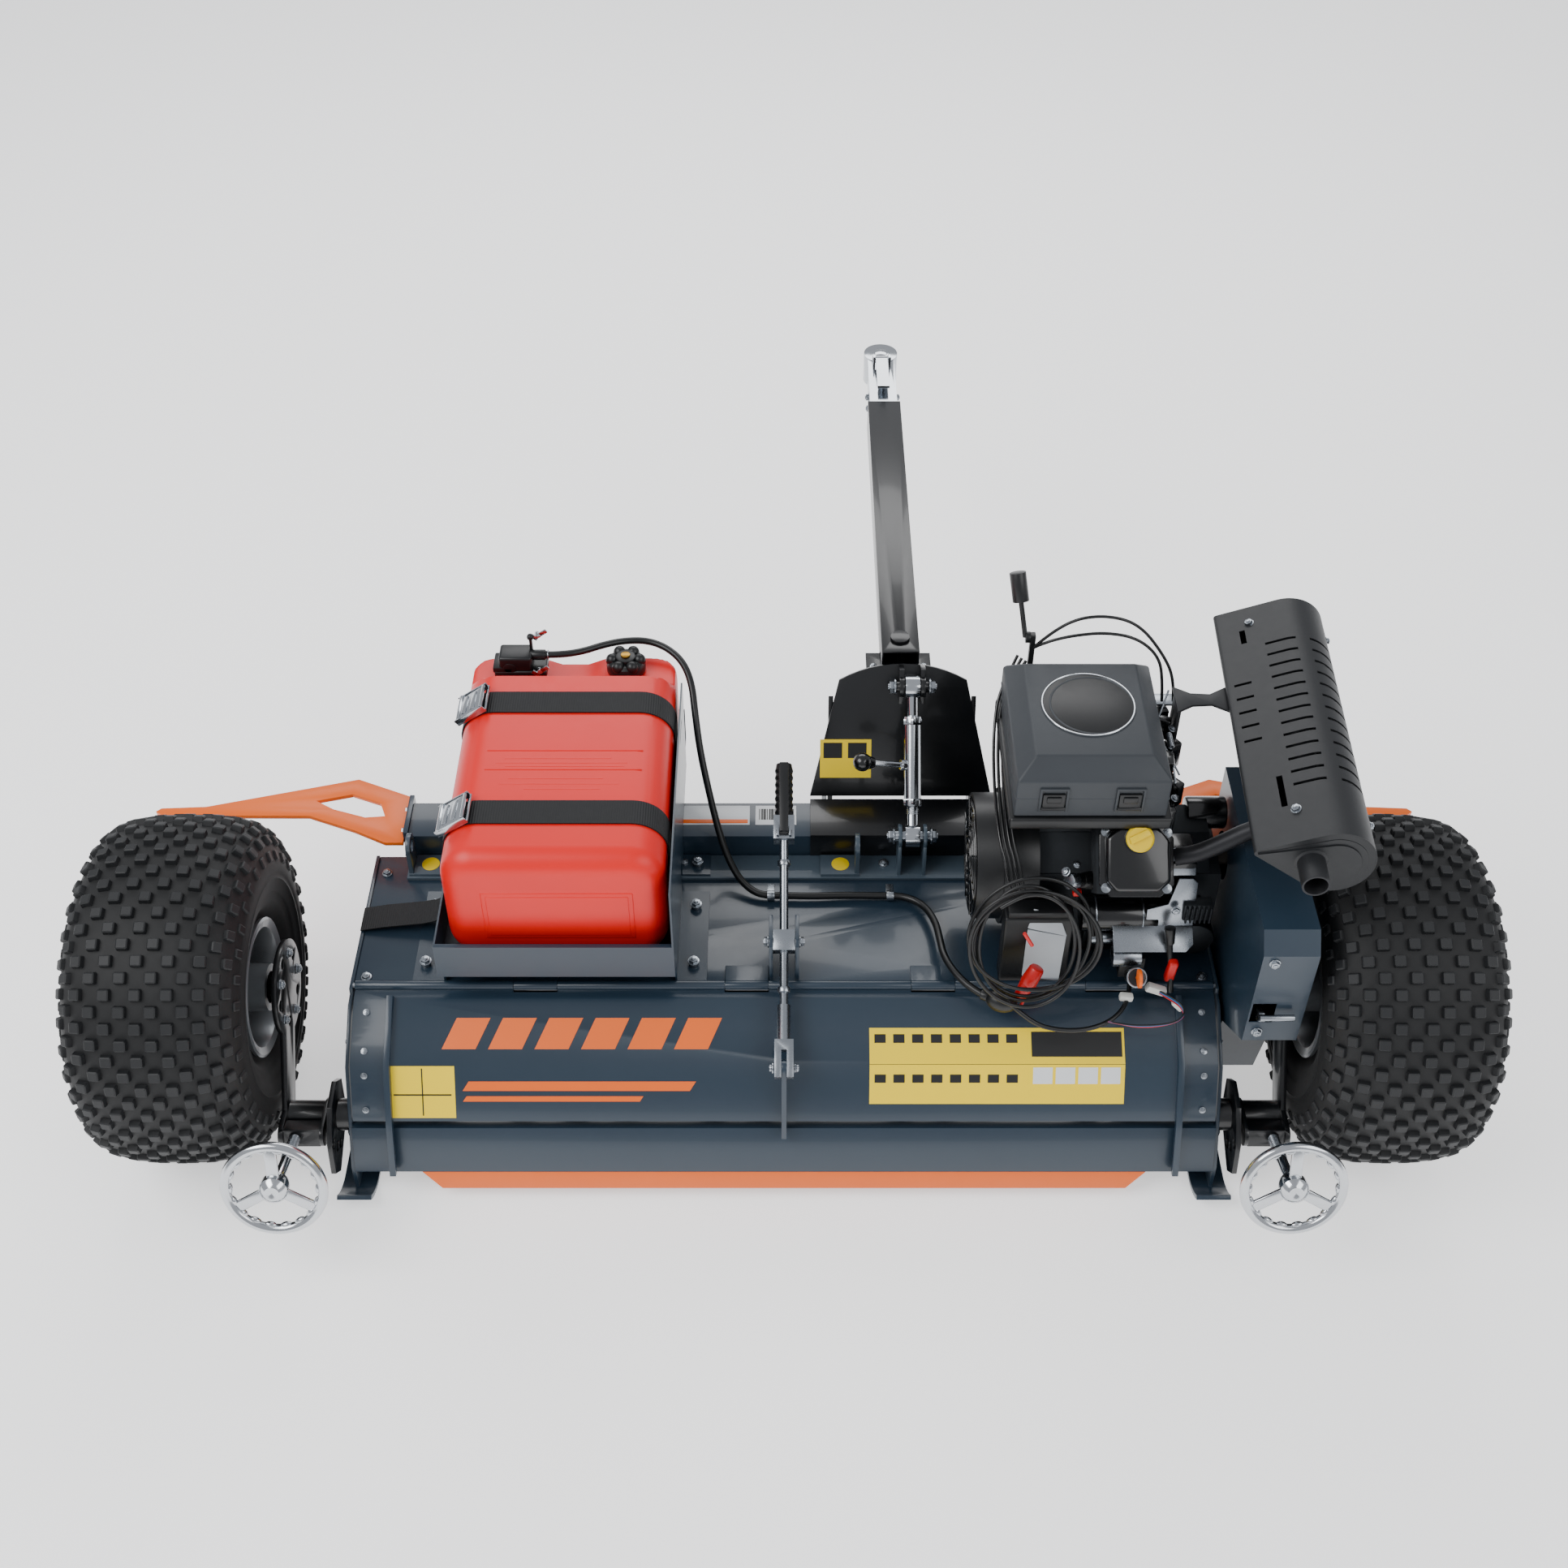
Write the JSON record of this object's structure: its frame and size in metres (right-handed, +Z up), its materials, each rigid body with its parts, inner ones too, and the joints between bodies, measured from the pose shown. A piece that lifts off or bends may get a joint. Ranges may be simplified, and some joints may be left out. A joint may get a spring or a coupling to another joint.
{
  "type": "brush mower",
  "caption": "Towed flail brush mower on two wide tyres, with its own petrol engine, strapped fuel tank, rear hood and an offset drawbar ending in a ball coupler.",
  "frame": {"origin": "on the ground under the middle of the machine's outline", "axes": "+X to the machine's right, across the cut; +Y forwards to the ball coupler; +Z up"},
  "size_m": [2.188, 1.8339, 0.8377],
  "materials": {
    "deck_paint": "semi-gloss",
    "shelf_paint": "satin",
    "black_steel": "semi-gloss",
    "orange_paint": "gloss",
    "zinc": "satin",
    "chrome_plate": "polished",
    "polished_aluminium": "polished",
    "rim_paint": "satin",
    "tank_red": "semi-gloss",
    "black_plastic": "satin",
    "filter_grey": "textured satin",
    "webbing": "woven",
    "hose_rubber": "satin",
    "tyre_rubber": "matt",
    "cast_engine": "cast",
    "muffler_paint": "matt",
    "yellow_plastic": "satin",
    "rotor_steel": "rough",
    "battery_case": "satin"
  },
  "bodies": {
    "deck": {"deck_shell": "deck_paint", "deck_shelf": "shelf_paint", "side_plates": "deck_paint", "front_beam": "deck_paint", "bumper_arms": "orange_paint", "rear_cross_bar": "deck_paint", "rear_skirt": "orange_paint", "fasteners": "zinc", "fuel_tray": "deck_paint", "fuel_tank": "tank_red", "fuel_fitting": "black_plastic", "tank_straps": "webbing", "strap_buckles": "chrome_plate", "fuel_hose": "hose_rubber", "engine_block": "cast_engine", "cylinders": "cast_engine", "valve_covers": "black_plastic", "blower_housing": "black_plastic", "filter_cover": "filter_grey", "starter_motor": "black_plastic", "key_switch": "black_plastic", "muffler": "muffler_paint", "muffler_guard": "muffler_paint", "battery": "battery_case", "harness_coil": "hose_rubber", "harness_tail": "hose_rubber", "belt_guard": "deck_paint", "drive_belt": "hose_rubber", "rotor_bearings": "rotor_steel", "frame_brackets": "black_steel"},
    "hood": {"hood_panel": "deck_paint"},
    "adjuster_swivel": {"adjuster_trunnion": "zinc"},
    "adjuster_rod": {"adjuster_rod": "zinc", "adjuster_grip": "black_plastic"},
    "release_trigger": {"adjuster_trigger": "black_plastic"},
    "fuel_cap": {"fuel_cap": "black_plastic"},
    "buckle_rear": {"buckle_lever_rear": "chrome_plate"},
    "buckle_front": {"buckle_lever_front": "chrome_plate"},
    "oil_cap": {"oil_cap": "yellow_plastic"},
    "key": {"ignition_key": "orange_paint"},
    "throttle": {"throttle_lever": "black_plastic"},
    "crank": {"crank_pulley": "zinc"},
    "idler": {"belt_idler": "zinc"},
    "rotor": {"rotor": "rotor_steel", "flails": "rotor_steel"},
    "hitch": {"hitch_carrier": "black_steel"},
    "drawbar": {"drawbar": "black_steel", "ball_coupler": "chrome_plate"},
    "latch": {"coupler_latch": "chrome_plate"},
    "link_low": {"toplink_lower_eye": "chrome_plate"},
    "link_body": {"toplink_body": "chrome_plate"},
    "link_high": {"toplink_upper_eye": "chrome_plate"},
    "arm_left": {"wheel_arm_left": "black_steel"},
    "wheel_left": {"wheel_rim_left": "rim_paint", "tyre_left": "tyre_rubber"},
    "handwheel_left": {"handwheel_left": "polished_aluminium"},
    "arm_right": {"wheel_arm_right": "black_steel"},
    "wheel_right": {"wheel_rim_right": "rim_paint", "tyre_right": "tyre_rubber"},
    "handwheel_right": {"handwheel_right": "polished_aluminium"}
  },
  "joints": [
    {"name": "hood_hinge", "type": "hinge", "parent": "deck", "child": "hood", "pos_m": [0, -0.562, 0.284], "axis": [-1, 0, 0], "range_deg": [0, 20]},
    {"name": "trunnion_pivot", "type": "hinge", "parent": "deck", "child": "adjuster_swivel", "pos_m": [0, -0.522, 0.345], "axis": [-1, 0, 0], "range_deg": [0, 14.14]},
    {"name": "rod_slide", "type": "slide", "parent": "adjuster_swivel", "child": "adjuster_rod", "axis": [0, 0.8925, 0.4511], "range_m": [0, 0.01546]},
    {"name": "release_trigger", "type": "hinge", "parent": "adjuster_rod", "child": "release_trigger", "pos_m": [0, -0.37323, 0.44541], "axis": [-1, 0, 0], "range_deg": [0, 2.2], "stiffness_Nm_per_rad": 6, "springref_deg": -2.86},
    {"name": "fuel_cap_turn", "type": "hinge", "parent": "deck", "child": "fuel_cap", "pos_m": [-0.268, -0.074, 0.54], "axis": [0, 0, 1], "range_deg": [0, 270]},
    {"name": "oil_cap_turn", "type": "hinge", "parent": "deck", "child": "oil_cap", "pos_m": [0.538, -0.52777, 0.58778], "axis": [0, -0.7071, 0.7071], "range_deg": [0, 270]},
    {"name": "buckle_rear", "type": "hinge", "parent": "deck", "child": "buckle_rear", "pos_m": [-0.53372, -0.453, 0.55502], "axis": [0, -1, 0], "range_deg": [0, 95]},
    {"name": "buckle_front", "type": "hinge", "parent": "deck", "child": "buckle_front", "pos_m": [-0.53372, -0.198, 0.55502], "axis": [0, -1, 0], "range_deg": [0, 95]},
    {"name": "key_turn", "type": "hinge", "parent": "deck", "child": "key", "pos_m": [0.552, -0.6125, 0.3635], "axis": [0, -0.7071, 0.7071], "range_deg": [0, 60]},
    {"name": "throttle_lever", "type": "hinge", "parent": "deck", "child": "throttle", "pos_m": [0.382, -0.236, 0.74], "axis": [1, 0, 0], "range_deg": [-20, 25]},
    {"name": "rotor_spin", "type": "hinge", "parent": "deck", "child": "rotor", "pos_m": [0, -0.467, 0.16], "axis": [1, 0, 0], "continuous": true},
    {"name": "crank_spin", "type": "hinge", "parent": "deck", "child": "crank", "pos_m": [0, -0.407, 0.425], "axis": [1, 0, 0], "continuous": true},
    {"name": "idler_swing", "type": "hinge", "parent": "deck", "child": "idler", "pos_m": [0.717, -0.622, 0.3267], "axis": [-1, 0, 0], "range_deg": [0, 4], "stiffness_Nm_per_rad": 40, "springref_deg": -5.73},
    {"name": "arm_left_pivot", "type": "hinge", "parent": "deck", "child": "arm_left", "pos_m": [-0.75, -0.694, 0.118], "axis": [-1, 0, 0], "range_deg": [0, 18]},
    {"name": "wheel_left_spin", "type": "hinge", "parent": "arm_left", "child": "wheel_left", "pos_m": [-0.955, -0.562, 0.28], "axis": [1, 0, 0], "continuous": true},
    {"name": "handwheel_left_turn", "type": "hinge", "parent": "arm_left", "child": "handwheel_left", "pos_m": [-0.78, -0.878, 0.181], "axis": [0, -0.9336, 0.3584], "range_deg": [0, 360]},
    {"name": "arm_right_pivot", "type": "hinge", "parent": "deck", "child": "arm_right", "pos_m": [0.75, -0.694, 0.118], "axis": [-1, 0, 0], "range_deg": [0, 18]},
    {"name": "wheel_right_spin", "type": "hinge", "parent": "arm_right", "child": "wheel_right", "pos_m": [0.955, -0.562, 0.28], "axis": [1, 0, 0], "continuous": true},
    {"name": "handwheel_right_turn", "type": "hinge", "parent": "arm_right", "child": "handwheel_right", "pos_m": [0.78, -0.878, 0.181], "axis": [0, -0.9336, 0.3584], "range_deg": [0, 360]},
    {"name": "hitch_pitch", "type": "hinge", "parent": "deck", "child": "hitch", "pos_m": [0.202, -0.167, 0.3], "axis": [1, 0, 0], "range_deg": [-5, 5]},
    {"name": "link_pivot", "type": "hinge", "parent": "deck", "child": "link_low", "pos_m": [0.216, -0.297, 0.357], "axis": [1, 0, 0], "range_deg": [-4.08, 4.08]},
    {"name": "link_turn", "type": "hinge", "parent": "link_low", "child": "link_body", "pos_m": [0.216, -0.297, 0.357], "axis": [0, 0.691, 0.7229], "range_deg": [0, 150]},
    {"name": "link_slide", "type": "slide", "parent": "link_low", "child": "link_high", "axis": [0, 0.691, 0.7229], "range_m": [-0.01183, 0.01183]},
    {"name": "drawbar_swing", "type": "hinge", "parent": "hitch", "child": "drawbar", "pos_m": [0.198, -0.03, 0.53], "axis": [0, 0, 1], "range_deg": [-15, 15]},
    {"name": "coupler_latch", "type": "hinge", "parent": "drawbar", "child": "latch", "pos_m": [0.198, 0.841, 0.576], "axis": [-1, 0, 0], "range_deg": [0, 60]}
  ],
  "couplings": [
    {"joint": "trunnion_pivot", "follows": "hood_hinge", "ratio": 0.7045},
    {"joint": "rod_slide", "follows": "hood_hinge", "m_per_rad": 0.043709},
    {"joint": "crank_spin", "follows": "rotor_spin", "ratio": 1.1029},
    {"joint": "link_pivot", "follows": "hitch_pitch", "ratio": 0.80661},
    {"joint": "link_slide", "follows": "hitch_pitch", "m_per_rad": -0.13327}
  ]
}
